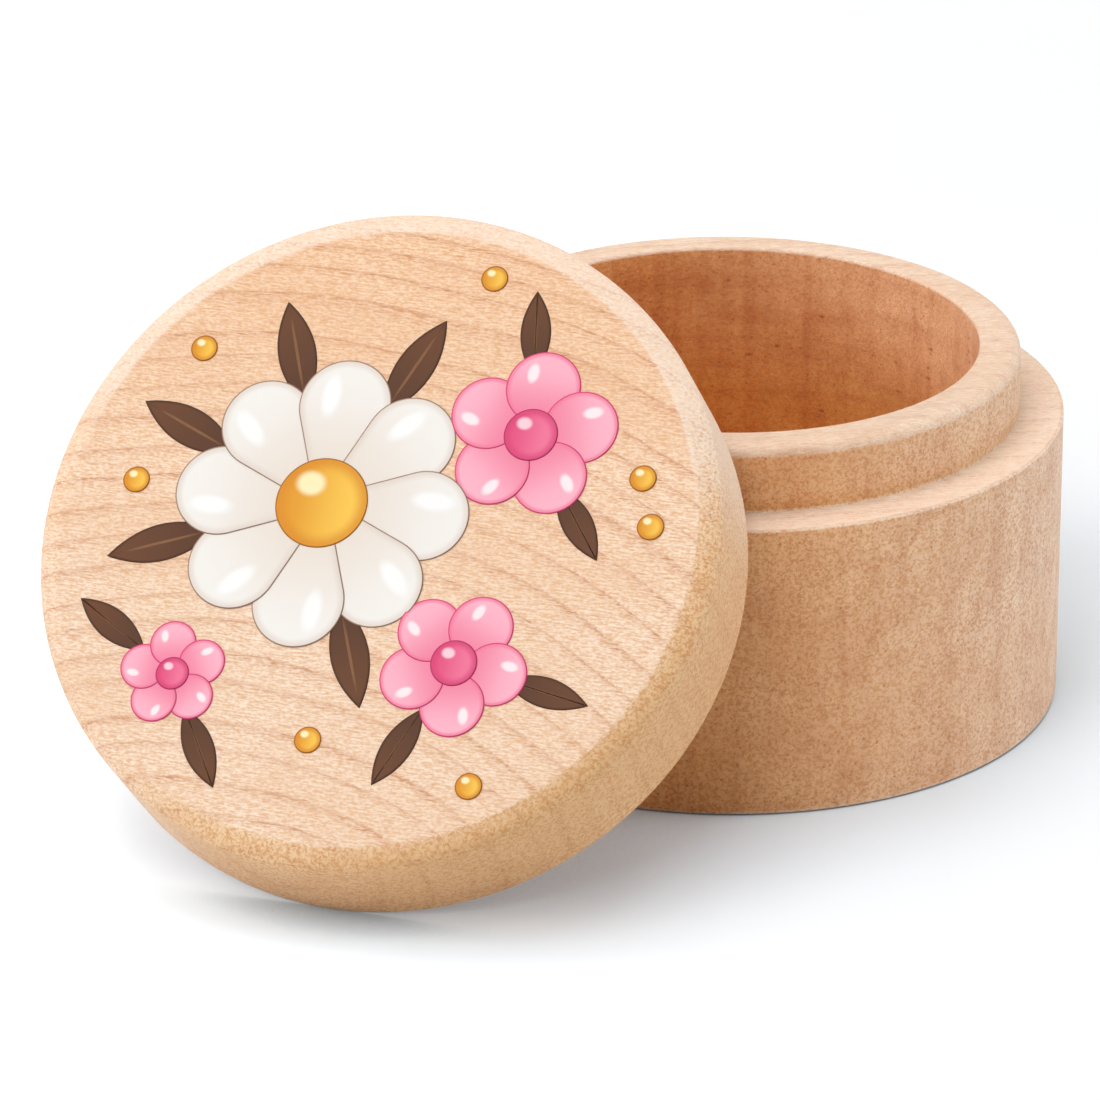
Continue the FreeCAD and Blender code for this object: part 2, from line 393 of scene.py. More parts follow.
def growth_lines(tree, wood, fibre, pith, shell_scale):
    """The shares that make up a growth line, and the slow darkening that leads up to it."""
    uneven = grown_wood(tree, wood, fibre, pith, shell_scale)
    grown = add_node(tree, "Math", (uneven,), operation="FRACT")
    year = add_node(tree, "Math", (uneven,), operation="FLOOR")
    chance = add_node(tree, "TexWhiteNoise", {"W": year}, noise_dimensions="1D").outputs["Value"]
    strength = add_node(tree, "MapRange", (chance, 0.0, 1.0, FAINTEST_LINE), **SMOOTH)
    stop = add_node(tree, "MapRange", (grown, LINE_STOP, 1.0, 1.0, 0.0), **SMOOTH)
    start = add_node(tree, "MapRange", (grown, LINE_START, LINE_FULL), **SMOOTH)
    late = add_node(tree, "MapRange", (grown, LATE_START, LINE_STOP), **SMOOTH)
    late_wood = add_node(tree, "Math", (late, stop), operation="MULTIPLY")
    return [start, stop, patches(tree, wood, *LINE_PATCH), strength], late_wood


print("a growth line every", GROWTH_WIDTH, "mm")

# %% [markdown]
# Sanded beech
#
# The colours are mixed from the small marks to the large ones. Pale wood is the ground, and most marks
# are laid on it with Multiply, as a stain would be, so that the fibres still show through them.
#
# Three numbers on each vertex, set where the pieces are made, say what the tools did there and where light
# and shade are painted. The first is how far the wood is made pale: worn by sandpaper, painted light on the
# rim and the shoulder, and a painted highlight on the lid's upper edge. The second is how the surface was
# cut: 0 is sanded smooth, 1 is a wall cut across its fibres, rougher and deeper in colour, and 2 is the
# hollow, which sandpaper never reached. That deeper colour is partly painted shade. The third is how much a
# place is
# browned: by dust in a corner, and by painted shade in that corner, in the hollow and on the lid's side.

# %% Fine figure
BEECH_PALE = "FBE6D1"
BEECH_TAN = "E4B68D"
NAP_SHARE = 0.8                    # how much the nap shows beside the fibres
CRUMB_SIZE = (0.26, 0.26, 0.26)    # mm; the crumbled nap of a wall that was cut across its fibres
CRUMB_DETAIL = 2.0
CRUMB_TWIST = 0.8
CRUMB_CONTRAST = 2.8
CRUMB_SHIFT = -0.56
CUT_SOON = 5.0                     # a side that keeps a fifth of the deep colour is as rough as a cut wall
HOLLOW_SMOOTHNESS = 0.55
PALE_FIGURE = 0.6
TAN_FIGURE = 1.2


def coat(tree, colour, over, shares, blend="MULTIPLY"):
    """Lays a colour over another as a stain, or with MIX as a paint, by the product of some shares."""
    amount = shares[0]
    for share in shares[1:]:
        amount = add_node(tree, "Math", (amount, share), operation="MULTIPLY")
    layers = {0: amount, 6: colour, 7: linear(over)}
    return add_node(tree, "Mix", layers, data_type="RGBA", blend_type=blend)


def beech_ground(tree, wood, mottle, cut, hollow):
    """The fine figure: fibres and nap on sanded wood, and a crumbled nap where the fibres were cut."""
    fibre = stretched_noise(tree, wood, FIBRE_SIZE, 1.0)
    crumb = stretched_noise(tree, wood, CRUMB_SIZE, CRUMB_DETAIL, CRUMB_TWIST)
    sanded = add_node(tree, "Math", (mottle, NAP_SHARE, fibre), operation="MULTIPLY_ADD")
    torn = add_node(tree, "Math", (crumb, CRUMB_CONTRAST, CRUMB_SHIFT), operation="MULTIPLY_ADD")
    rough = add_node(tree, "MapRange", (cut, 0.0, 1 / CUT_SOON), **SMOOTH)
    smoothing = (hollow, -HOLLOW_SMOOTHNESS, rough)
    rough_share = add_node(tree, "Math", smoothing, operation="MULTIPLY_ADD")
    figure = add_node(tree, "Mix", {0: rough_share, 2: sanded, 3: torn})
    tan_share = add_node(tree, "MapRange", (figure, PALE_FIGURE, TAN_FIGURE), **SMOOTH)
    return coat(tree, linear(BEECH_PALE), BEECH_TAN, [tan_share], "MIX"), figure, fibre


print("beech from", BEECH_PALE, "to", BEECH_TAN)

# %% [markdown]
# The next layers are the marks that grew in the tree, and then the marks that the cutter left. On a cut
# wall the growth lines are faint, because their ends are torn up with the nap.

# %% Grain and cutter marks
# pale wood: worn, and painted light
BEECH_WORN_AND_LIT = "FBEBDC"
LINE_STAIN = "CC8848"
DASH_STAIN = "D39A66"
PORE_STAIN = "B8783F"
CUT_LINES = 0.4                    # share of the growth lines that is left on a cut wall
LATE_WOOD = 0.35
EARLY_DASHES = 0.5                 # share of the dashes in early wood
PORE_DEPTH = 0.5
SPECK_DEPTH = 0.9
FLECK_PALENESS = 0.45
HOLLOW_BANDS = 0.12


def with_grain(tree, wood, board, fibre, cut, colour):
    """The marks that grew in the tree: growth lines, late wood and dashes."""
    line, late_wood = growth_lines(tree, wood, fibre, board["pith"], board["shell_scale"])
    fading = (cut, 0.0, 1 / CUT_SOON, board["lines"], CUT_LINES * board["lines"])
    lines_here = add_node(tree, "MapRange", fading, **SMOOTH)
    colour = coat(tree, colour, LINE_STAIN, [late_wood, lines_here, LATE_WOOD])
    colour = coat(tree, colour, LINE_STAIN, [*line, lines_here])
    crowding = (late_wood, 0.0, 1.0, EARLY_DASHES * board["dashes"], board["dashes"])
    dashes_here = add_node(tree, "MapRange", crowding, **SMOOTH)
    colour = coat(tree, colour, DASH_STAIN, [scattered(tree, wood, *DASH), dashes_here])
    return coat(tree, colour, BEECH_TAN, [patches(tree, wood, *CLOUD)], "MIX")


def with_cutter_marks(tree, wood, board, cut, hollow, colour):
    """The marks of the cutter: pores and patches on the walls, bands up them, and specks in the hollow."""
    colour = coat(tree, colour, PORE_STAIN, [scattered(tree, wood, *PORE), cut, PORE_DEPTH])
    colour = coat(tree, colour, DASH_STAIN, [patches(tree, wood, *PATCH), cut])
    banding = (hollow, HOLLOW_BANDS, board["bands"])
    bands_here = add_node(tree, "Math", banding, operation="MULTIPLY_ADD")
    colour = coat(tree, colour, DASH_STAIN, [patches(tree, wood, *BAND), bands_here])
    colour = coat(tree, colour, DASH_STAIN, [patches(tree, wood, *STAIN), hollow])
    colour = coat(tree, colour, PORE_STAIN, [scattered(tree, wood, *SPECK), hollow, SPECK_DEPTH])
    on_walls = add_node(tree, "Math", (cut, hollow), operation="SUBTRACT")
    return coat(tree, colour, BEECH_WORN_AND_LIT, [scattered(tree, wood, *FLECK), on_walls, FLECK_PALENESS], "MIX")


print("stains", LINE_STAIN, DASH_STAIN, PORE_STAIN)

# %% [markdown]
# Cut wood is deeper in colour than sanded wood, partly as its own colour and partly as painted shade. Each
# piece also deepens along one way: on the base that is painted shade towards the left, where the lid shades
# it. The Dot Product of a place and a direction says how far along that way it lies.

# %% Deeper colour
# deepens cut wood: partly its own colour, partly painted shade
DEEP_STAIN_AND_SHADE = "FFD697"
HOLLOW_LEAST = 0.4


def with_depth_and_shade(tree, wood, board, cut, hollow, colour):
    """The deeper colour of cut wood, partly painted shade, which fades along one way across the board."""
    along = add_node(tree, "VectorMath", (wood, board["deep_way"]), operation="DOT_PRODUCT")
    depth = add_node(tree, "MapRange", (along, *board["ends"]))
    keeping = (hollow, HOLLOW_LEAST, board["deep_least"])
    least = add_node(tree, "Math", keeping, operation="MULTIPLY_ADD")
    kept = add_node(tree, "MapRange", (depth, 0.0, 1.0, least))
    on_cut = add_node(tree, "Math", (cut, kept), operation="MULTIPLY")
    deepening = (depth, board["deep_face"], on_cut)
    deep = add_node(tree, "Math", deepening, operation="MULTIPLY_ADD")
    return coat(tree, colour, DEEP_STAIN_AND_SHADE, [deep])


print("deep stain", DEEP_STAIN_AND_SHADE)

# %% [markdown]
# Tools do not stop along a clean line. The nap's own noise is added to the wear and painted highlight, and
# to the depth of the cut, before they are turned into colours, so their borders are ragged.

# %% Worn, painted-lit and cut wood
RAGGED = 1.6                       # how far the nap frays the border between sanded and cut wood
BORDER_START = 1.1
BORDER_END = 1.6
# the border that the nap frays here is that of worn wood and of painted highlights
PALING_RAGGED = 1.2                  # how far the nap frays the border of worn wood
CUT_WEAR = 0.3                     # how much sooner cut wood wears
PALING_START = 1.0
PALING_END = 1.6
PALEST = 0.8


def tool_marks(tree, mottle, depth):
    """What the depth number means: where cut wood begins, how far it is cut, and if it is the hollow."""
    sooner = add_node(tree, "Math", (depth, CUT_SOON), operation="MULTIPLY")
    soon = add_node(tree, "Math", (mottle, RAGGED, sooner), operation="MULTIPLY_ADD")
    past_border = add_node(tree, "MapRange", (soon, BORDER_START, BORDER_END), **SMOOTH)
    full_cut = add_node(tree, "MapRange", (depth,))
    cut = add_node(tree, "Math", (full_cut, past_border), operation="MULTIPLY")
    hollow = add_node(tree, "MapRange", (depth, 1.0, 2.0))
    return past_border, cut, hollow


def with_wear_and_highlight(tree, mottle, worn_and_lit, cut, colour):
    """Wood made pale, with a ragged border: worn by sandpaper and hands, and painted highlight where light
    falls.
    """
    on_cut = add_node(tree, "Math", (cut, CUT_WEAR, worn_and_lit), operation="MULTIPLY_ADD")
    rubbed_and_lit = add_node(tree, "Math", (mottle, PALING_RAGGED, on_cut), operation="MULTIPLY_ADD")
    paling = (rubbed_and_lit, PALING_START, PALING_END, 0.0, PALEST)
    pale = add_node(tree, "MapRange", paling, **SMOOTH)
    return coat(tree, colour, BEECH_WORN_AND_LIT, [pale], "MIX")


print("worn wood", BEECH_WORN_AND_LIT)

# %% [markdown]
# The material puts these layers together. The figure also drives a faint bump. Raw wood has no polish, so
# the roughness is high, and its nap catches light at a glancing angle, which is what Sheen is for.

# %% Sanded beech
MOTTLE_SIZE = (0.3, 0.17, 0.17)    # mm; the nap left by sandpaper, drawn coarser than real
# the colour of dust, and of painted shade
DUST_AND_SHADE_STAIN = "ECDAA0"
BEECH_ROUGHNESS = 0.65
NAP_SHEEN = 0.08
NAP_RELIEF = 0.04 * MM
NAP_STRENGTH = 0.8


def sanded_beech(name, board):
    """Pale turned wood, sanded and left raw: matt, with growth lines, dashes and fine fibres."""
    material, tree, output = new_material(name)
    coordinates = add_node(tree, "TexCoord").outputs["Object"]
    placing = (coordinates, board["place"], board["turn"], (MM, MM, MM))
    wood = add_node(tree, "Mapping", placing, vector_type="TEXTURE")
    tool_and_light_marks = add_node(tree, "Attribute", attribute_name="tool_and_light_marks").outputs["Vector"]
    worn_and_lit, depth, dust_and_shade = add_node(tree, "SeparateXYZ", (tool_and_light_marks,)).outputs
    mottle = stretched_noise(tree, wood, MOTTLE_SIZE, 1.0)
    past_border, cut, hollow = tool_marks(tree, mottle, depth)

    colour, figure, fibre = beech_ground(tree, wood, mottle, cut, hollow)
    colour = with_grain(tree, wood, board, fibre, cut, colour)
    colour = with_cutter_marks(tree, wood, board, cut, hollow, colour)
    colour = with_depth_and_shade(tree, wood, board, cut, hollow, colour)
    # dust in a corner, and painted shade in that corner, in the hollow and on the lid's side
    colour = coat(tree, colour, DUST_AND_SHADE_STAIN, [dust_and_shade, past_border])
    # wear, painted light on the rim and the shoulder, and a painted highlight on the lid's upper edge
    colour = with_wear_and_highlight(tree, mottle, worn_and_lit, cut, colour)

    relief = {"Height": figure, "Strength": NAP_STRENGTH, "Distance": NAP_RELIEF}
    bump = add_node(tree, "Bump", relief)
    finish = {"Base Color": colour, "Roughness": BEECH_ROUGHNESS, "Sheen Weight": NAP_SHEEN, "Normal": bump}
    surface = add_node(tree, "BsdfPrincipled", finish)
    tree.links.new(surface.outputs[0], output.inputs["Surface"])
    print(name, len(tree.nodes), "nodes")
    return material

# %% [markdown]
# The two pieces come from different boards, so each has its own pith. The base's board was cut far from
# the middle of the tree, and its shells are almost flat. The lid shows arches, because its pith lies
# just below it. The base deepens towards its left end, which is painted shade where the lid shades it, and
# the lid's face deepens towards its top. The pith and the ends are given in millimetres, measured in the
# board. The last three numbers say how strongly growth lines, dashes and bands show.

# %% Two boards
# the base's deep_way and ends paint shade on its left, where the lid shades it
BASE_BOARD = {
    "place": (0, 0, 0), "turn": (0, 0, math.radians(10)), "pith": (0, -150, 60), "shell_scale": (1000, 1, 1),
    "deep_way": (-1, 0, 0), "ends": (-24, 5), "deep_face": 0.0, "deep_least": 0.0,
    "lines": 0.35, "dashes": 0.35, "bands": 0.15,
}
LID_BOARD = {
    "place": lid_mouth, "turn": (LID_TILT, 0, LID_TURN), "pith": (-6.6, -53.6, 10), "shell_scale": (1, 1, 1),
    "deep_way": (0, 1, 0), "ends": (-10, 25), "deep_face": 0.35, "deep_least": 1.0,
    "lines": 0.57, "dashes": 0.65, "bands": 0.0,
}
base_beech = sanded_beech("sanded_beech_base", BASE_BOARD)
lid_beech = sanded_beech("sanded_beech_lid", LID_BOARD)

# %% [markdown]
# Turning a piece
#
# A lathe sweeps one outline round an axis, and Blender's spin does the same. The outline needs only its
# corners. Each corner ring is then bevelled as far as the sandpaper rounded it: a rounding of radius r
# touches both sides of a corner at r divided by the tangent of half the corner's angle.

# %% Turned shapes
TURN_STEPS = 256
ROUND_SEGMENTS = 6
ROUND_PROFILE = 0.5
MERGE_DISTANCE = 0.001 * MM
WORN_ROUNDING = 0.45


def on_ring(vertex, radius, height):
    """Whether a vertex lies on a corner ring of the outline."""
    away = math.hypot(vertex.co.x, vertex.co.y) - radius
    return abs(away) < MERGE_DISTANCE and abs(vertex.co.z - height) < MERGE_DISTANCE


def touch_distance(before, corner, after, rounding):
    """How far from a corner its rounding meets the two sides."""
    back = Vector(before[:2]) - Vector(corner[:2])
    ahead = Vector(after[:2]) - Vector(corner[:2])
    return rounding / math.tan(back.angle(ahead) / 2)


def turned(corners):
    """A turned solid from its outline: a list of (radius, height, rounding) from axis to axis."""
    bm = bmesh.new()
    layer = bm.verts.layers.float_vector.new("tool_and_light_marks")
    verts = [bm.verts.new((radius, 0, height)) for radius, height, rounding in corners]
    edges = [bm.edges.new(pair) for pair in zip(verts, verts[1:])]
    bmesh.ops.spin(
        bm, geom=verts + edges, cent=(0, 0, 0), axis=(0, 0, 1), angle=2 * math.pi,
        steps=TURN_STEPS, use_merge=True,
    )
    bmesh.ops.remove_doubles(bm, verts=bm.verts, dist=MERGE_DISTANCE)
    bmesh.ops.recalc_face_normals(bm, faces=bm.faces)
    for before, corner, after in zip(corners, corners[1:], corners[2:]):
        radius, height, rounding = corner
        if rounding:
            ring = [edge for edge in bm.edges if all(on_ring(v, radius, height) for v in edge.verts)]
            made = bmesh.ops.bevel(
                bm, geom=ring, offset=touch_distance(before, corner, after, rounding), offset_type="OFFSET",
                segments=ROUND_SEGMENTS, profile=ROUND_PROFILE, affect="EDGES",
                material=-1, clamp_overlap=True,
            )
            rounded = set(made["faces"])
            for vertex in made["verts"]:
                vertex[layer].x = WORN_ROUNDING * all(face in rounded for face in vertex.link_faces)
    return bm, layer


print("turned in", TURN_STEPS, "steps")

# %% [markdown]
# Smooth shading blends the direction of a face from vertex to vertex, so a long wall beside a small rounding
# would look bent. More rings along the wall keep the blending close to its ends.
#
# A finished piece then rides on its body, gets its material, and hides the CAD node that it stands for.

# %% Finished pieces
WALL_STEP = 2.0 * MM
MOST_CUTS = 11


def add_rings(bm):
    """Divides the long straight walls, so that their shading stays flat up to the roundings."""
    for cuts in range(1, MOST_CUTS + 1):
        low, high = (cuts + 0.5) * WALL_STEP, (cuts + 1.5) * WALL_STEP
        long_edges = [edge for edge in bm.edges if low < edge.calc_length() <= high]
        if long_edges:
            bmesh.ops.subdivide_edges(bm, edges=long_edges, cuts=cuts, use_grid_fill=True)


def finish_piece(bm, name, body, material, node):
    """Turns a bmesh into a smooth-shaded piece that rides on a body and stands for a CAD node."""
    for face in bm.faces:
        face.smooth = True
    mesh = bpy.data.meshes.new(name)
    bm.to_mesh(mesh)
    bm.free()
    mesh.materials.append(material)
    piece = bpy.data.objects.new(name, mesh)
    bpy.context.collection.objects.link(piece)
    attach(piece, body)
    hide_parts(node)
    print(name, len(mesh.polygons), "faces")


print("wall rings", WALL_STEP / MM, "mm apart")

# %% [markdown]
# The base
#
# The base is one block of beech: a plain round wall, a flat shoulder where the lid sits, and above it
# the thinner rim that the lid slides over. The hollow has a coved corner at its floor, left by a
# round-nosed cutter. The outside radius and the full height come from the CAD node, and the rest of the
# outline follows the same sizes as the CAD model. Two more points on the rim's wall, just above the
# shoulder, will hold the marks of the cutter.

# %% Base
SHOULDER_HEIGHT = 22.6 * MM
SHOULDER_WIDTH = 3.3 * MM
RIM_WIDTH = 3.1 * MM
FLOOR_THICKNESS = 4.6 * MM
CAVITY_COVE = 2.5 * MM
FOOT_ROUND = 0.4 * MM
SHOULDER_ROUND = 0.25 * MM
RIM_OUTER_ROUND = 0.9 * MM
RIM_INNER_ROUND = 0.3 * MM
TORN_HEIGHT = 0.3 * MM
DUST_HEIGHT = 1.2 * MM

base_low, base_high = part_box("box_base")
BASE_RADIUS = (base_high.x - base_low.x) / 2
RIM_HEIGHT = base_high.z
RIM_RADIUS = BASE_RADIUS - SHOULDER_WIDTH
MOUTH_RADIUS = RIM_RADIUS - RIM_WIDTH

base, layer = turned([
    (0, 0, 0),
    (BASE_RADIUS, 0, FOOT_ROUND),
    (BASE_RADIUS, SHOULDER_HEIGHT, SHOULDER_ROUND),
    (RIM_RADIUS, SHOULDER_HEIGHT, 0),
    (RIM_RADIUS, SHOULDER_HEIGHT + TORN_HEIGHT, 0),
    (RIM_RADIUS, SHOULDER_HEIGHT + DUST_HEIGHT, 0),
    (RIM_RADIUS, RIM_HEIGHT, RIM_OUTER_ROUND),
    (MOUTH_RADIUS, RIM_HEIGHT, RIM_INNER_ROUND),
    (MOUTH_RADIUS, FLOOR_THICKNESS, CAVITY_COVE),
    (0, FLOOR_THICKNESS, 0),
])
add_rings(base)
print("base radius", round(BASE_RADIUS / MM, 2), "rim height", round(RIM_HEIGHT / MM, 2), "mm")

# %% [markdown]
# The tools left their marks on it. The rim's top and the shoulder were sanded, and they are made paler,
# partly as wear and partly as painted light. The walls were only cut, so they are rougher and deeper in
# colour, and that deeper colour is partly painted shade. A cutter leaves torn nap and dust in the corner
# above the shoulder, where a painted shade also darkens it. The hollow was never sanded, and painted shade
# darkens it towards its floor.

# %% Tool marks and painted shade on the base
# the deeper colour of the walls is partly their own and partly painted shade
WALL_DEPTH = 0.92
SPIGOT_DEPTH = 0.85
SPIGOT_DUST = 0.12
# the paleness of the rim and the shoulder is partly wear and partly painted light
RIM_WEAR_AND_LIGHT = 0.52
SHOULDER_WEAR_AND_LIGHT = 0.65
CORNER_WEAR = 0.5
CORNER_DUST_AND_SHADE = 0.5
HOLLOW_DEPTH = 2.0
HOLLOW_SHADE = 1.0
HOLLOW_LIGHT_HEIGHT = 24 * MM
HOLLOW_DARK_HEIGHT = 15 * MM
ROUNDING_START = RIM_HEIGHT - RIM_OUTER_ROUND

for vertex in base.verts:
    radius = math.hypot(vertex.co.x, vertex.co.y)
    inside = radius < MOUTH_RADIUS + MERGE_DISTANCE and vertex.co.z > FLOOR_THICKNESS - MERGE_DISTANCE
    if inside:
        # painted shade: the hollow darkens from its light height down to its dark height
        sunk = (HOLLOW_LIGHT_HEIGHT - vertex.co.z) / (HOLLOW_LIGHT_HEIGHT - HOLLOW_DARK_HEIGHT)
        vertex[layer] = (0, HOLLOW_DEPTH, HOLLOW_SHADE * max(0, min(1, sunk)))
    elif radius > BASE_RADIUS - SHOULDER_ROUND / 2:
        vertex[layer].y = WALL_DEPTH
    elif abs(radius - RIM_RADIUS) < MERGE_DISTANCE and vertex.co.z < ROUNDING_START + MERGE_DISTANCE:
        vertex[layer].y = SPIGOT_DEPTH
        vertex[layer].z = SPIGOT_DUST
    elif vertex.co.z > ROUNDING_START:
        vertex[layer].x = RIM_WEAR_AND_LIGHT
    elif vertex.co.z > SHOULDER_HEIGHT - MERGE_DISTANCE:
        vertex[layer].x = SHOULDER_WEAR_AND_LIGHT
    if on_ring(vertex, RIM_RADIUS, SHOULDER_HEIGHT):
        vertex[layer] = (CORNER_WEAR, 0, 0)
    # the corner above the shoulder gets dust and a painted shade
    if on_ring(vertex, RIM_RADIUS, SHOULDER_HEIGHT + TORN_HEIGHT):
        vertex[layer].z = CORNER_DUST_AND_SHADE
finish_piece(base, "turned_base", "base", base_beech, "box_base")

# %% [markdown]
# The lid
#
# The lid is turned the same way, mouth down, with a socket a little wider than the base's rim. A shallow
# bevel runs round its face, with one more ring just inside it where the colour of the side begins.

# %% Lid
FIT_CLEARANCE = 0.2 * MM
SOCKET_DEPTH = 5.4 * MM
FACE_BEVEL_WIDTH = 1.55 * MM
FACE_BEVEL_DROP = 0.5 * MM
FACE_CREASE_ROUND = 1.0 * MM
FACE_EDGE_ROUND = 1.0 * MM
LID_MOUTH_ROUND = 0.3 * MM
SOCKET_COVE = 0.6 * MM
CREASE_FADE = 0.6 * MM
SOCKET_RADIUS = RIM_RADIUS + FIT_CLEARANCE
CREASE_RADIUS = LID_RADIUS - FACE_BEVEL_WIDTH

lid, layer = turned([
    (0, LID_HEIGHT, 0),
    (CREASE_RADIUS - CREASE_FADE, LID_HEIGHT, 0),
    (CREASE_RADIUS, LID_HEIGHT, FACE_CREASE_ROUND),
    (LID_RADIUS, LID_HEIGHT - FACE_BEVEL_DROP, FACE_EDGE_ROUND),
    (LID_RADIUS, 0, LID_MOUTH_ROUND),
    (SOCKET_RADIUS, 0, LID_MOUTH_ROUND),
    (SOCKET_RADIUS, SOCKET_DEPTH, SOCKET_COVE),
    (0, SOCKET_DEPTH, 0),
])
add_rings(lid)
print("lid crease radius", round(CREASE_RADIUS / MM, 2), "mm")

# %% [markdown]
# The lid's side was sanded too, so it is less deep in colour than the base's wall. Round the upper left,
# where the key lamp falls, its deep colour and its painted shade are left off, so that side is painted lit.
# The upper edge carries a painted highlight, and the lower right a painted shade. The socket was only
# lightly cut. Then the lid is laid in its leaning place.

# %% Tool marks and painted light on the lid
LID_SIDE_DEPTH = 0.26
LID_SIDE_SHADE = 0.5
EDGE_HIGHLIGHT = 0.74
SOCKET_DEEPNESS = 0.2
LOWER_RIGHT_SHADE = 0.3
SHADED_WAY = Vector((0.71, -0.71, 0))
SHADED_BEYOND = -0.72
LIT_WAY = Vector((-0.73, 0.68, 0))
LIT_BEYOND = 0.5
HIGHLIGHT_WAY = Vector((0, 1, 0))
HIGHLIGHT_BEYOND = 0.2
BORDER_FADE = 0.6


def share_towards(outwards, way, beyond):
    """1 on the part of the edge that faces a way, and 0 on the far part."""
    return max(0, min(1, (beyond + outwards.normalized().dot(way)) / BORDER_FADE))


for vertex in lid.verts:
    outwards = Vector((vertex.co.x, vertex.co.y, 0))
    past_crease = 0.5 + (outwards.length - CREASE_RADIUS) / CREASE_FADE
    if past_crease > 0:
        # sanded is the share of the side that is painted lit, round the upper left; the rest gets a painted
        # shade
        sanded = share_towards(outwards, LIT_WAY, LIT_BEYOND)
        # painted highlight on the upper edge
        vertex[layer].x = EDGE_HIGHLIGHT * share_towards(outwards, HIGHLIGHT_WAY, HIGHLIGHT_BEYOND)
        vertex[layer].y = LID_SIDE_DEPTH * (1 - sanded) * min(1, past_crease)
        # painted shade on the lower right
        shaded_side = LOWER_RIGHT_SHADE * share_towards(outwards, SHADED_WAY, SHADED_BEYOND)
        vertex[layer].z = (LID_SIDE_SHADE * (1 - sanded) + shaded_side) * min(1, past_crease)
    elif outwards.length < SOCKET_RADIUS + MERGE_DISTANCE and vertex.co.z < LID_HEIGHT - MERGE_DISTANCE:
        vertex[layer] = (0, SOCKET_DEEPNESS, 0)
bmesh.ops.transform(lid, matrix=lid_matrix, verts=lid.verts)
finish_piece(lid, "turned_lid", "lid", lid_beech, "box_lid")

# %% [markdown]
# The printed design
#
# Print on wood is a film of ink a few hundredths of a millimetre thick. Each petal, leaf and dot is
# modelled as such a film: a circle is stretched to the outline, raised to the film's thickness and inset
# twice. Every vertex keeps three numbers for the material: how far it lies along the stroke, how far
# across, and 0 on the edge, 1 inside the drawn outline or 2 inside the shaded border. So each petal can
# fade from root to tip and have a fine outline, as drawn petals do.

# %% Films of ink
PRINT_MARGIN = 1.45 * MM
PRINT_RADIUS = CREASE_RADIUS - PRINT_MARGIN
OUTLINE_WIDTH = 0.14 * MM
STROKE_SEGMENTS = 64


def film(bm, layer, shape, matrix, thickness, border):
    """One film of ink: shape is a function that moves a unit circle's vertices to the outline."""
    verts = bmesh.ops.create_circle(bm, cap_ends=True, segments=STROKE_SEGMENTS, radius=1.0)["verts"]
    shape(bm, verts)
    low_x, high_x = min(v.co.x for v in verts), max(v.co.x for v in verts)
    high_y = max(v.co.y for v in verts)
    face = verts[0].link_faces[0]
    raised = bmesh.ops.extrude_face_region(bm, geom=[face], use_keep_orig=True)["geom"]
    top = next(item for item in raised if isinstance(item, bmesh.types.BMFace))
    bmesh.ops.translate(bm, verts=list(top.verts), vec=(0, 0, thickness))
    edge_values = {vertex: 0 for vertex in verts}
    for ring, width in enumerate((OUTLINE_WIDTH, border)):
        made = bmesh.ops.inset_region(bm, faces=[top], thickness=width, use_even_offset=False)["faces"]
        edge_values.update((vertex, ring) for face in made for vertex in face.verts)
        edge_values.update((vertex, ring + 1) for vertex in top.verts)
    for vertex, edge_value in edge_values.items():
        along = (vertex.co.x - low_x) / (high_x - low_x)
        vertex[layer] = (along, vertex.co.y / high_y, edge_value)
    bmesh.ops.transform(bm, matrix=matrix, verts=list(edge_values))


def new_print():
    """An empty bmesh with the layer that holds each film's three numbers."""
    bm = bmesh.new()
    return bm, bm.verts.layers.float_vector.new("stroke")


def face_place(share_x, share_y, turn=0.0):
    """A place on the lid's face, from shares of the print's radius."""
    on_face = Matrix.Translation((share_x * PRINT_RADIUS, share_y * PRINT_RADIUS, LID_HEIGHT))
    return lid_matrix @ on_face @ Matrix.Rotation(turn, 4, "Z")


print("print radius", round(PRINT_RADIUS / MM, 2), "mm")

# %% [markdown]
# Three outlines are enough for the whole design, and each is made from a circle of vertices. A dot is the
# circle itself. A petal pulls the circle apart into a small root and a large tip. A leaf is drawn out to a
# point at both ends, with its vertices spread evenly, because crowded ones would cross when it is inset.

# %% Outlines of petals, dots and leaves
def petal_shape(root_place, root_radius, tip_place, tip_radius):
    """A petal's outline: a small circle at the root and a large one at the tip, with straight sides."""
    def shape(bm, verts):
        turning = -(tip_radius - root_radius) / (tip_place - root_place)
        tip = [vertex for vertex in verts if vertex.co.x > turning]
        root = [vertex for vertex in verts if vertex.co.x <= turning]
        for part, place, radius in ((tip, tip_place, tip_radius), (root, root_place, root_radius)):
            bmesh.ops.scale(bm, vec=(radius, radius, 1), verts=part)
            bmesh.ops.translate(bm, vec=(place, 0, 0), verts=part)
    return shape


def dot_shape(radius):
    """A round dot."""
    return lambda bm, verts: bmesh.ops.scale(bm, vec=(radius, radius, 1), verts=verts)


def leaf_shape(length, width):
    """A leaf that starts at its root and is pointed at both ends, with evenly spaced vertices."""
    def shape(bm, verts):
        for vertex in verts:
            vertex.co.x = math.asin(max(-1, min(1, vertex.co.x))) / (math.pi / 2)
            vertex.co.y = math.copysign(1 - vertex.co.x ** 2, vertex.co.y)
        bmesh.ops.scale(bm, vec=(length / 2, width / 2, 1), verts=verts)
        bmesh.ops.translate(bm, vec=(length / 2, 0, 0), verts=verts)
    return shape


print("outlines of", STROKE_SEGMENTS, "vertices")

# %% [markdown]
# The inks are opaque and slightly glossier than the wood. One function makes them all: a fade from
# root to tip, a shaded border, a fine outline, and a soft drawn highlight at one place on the stroke.

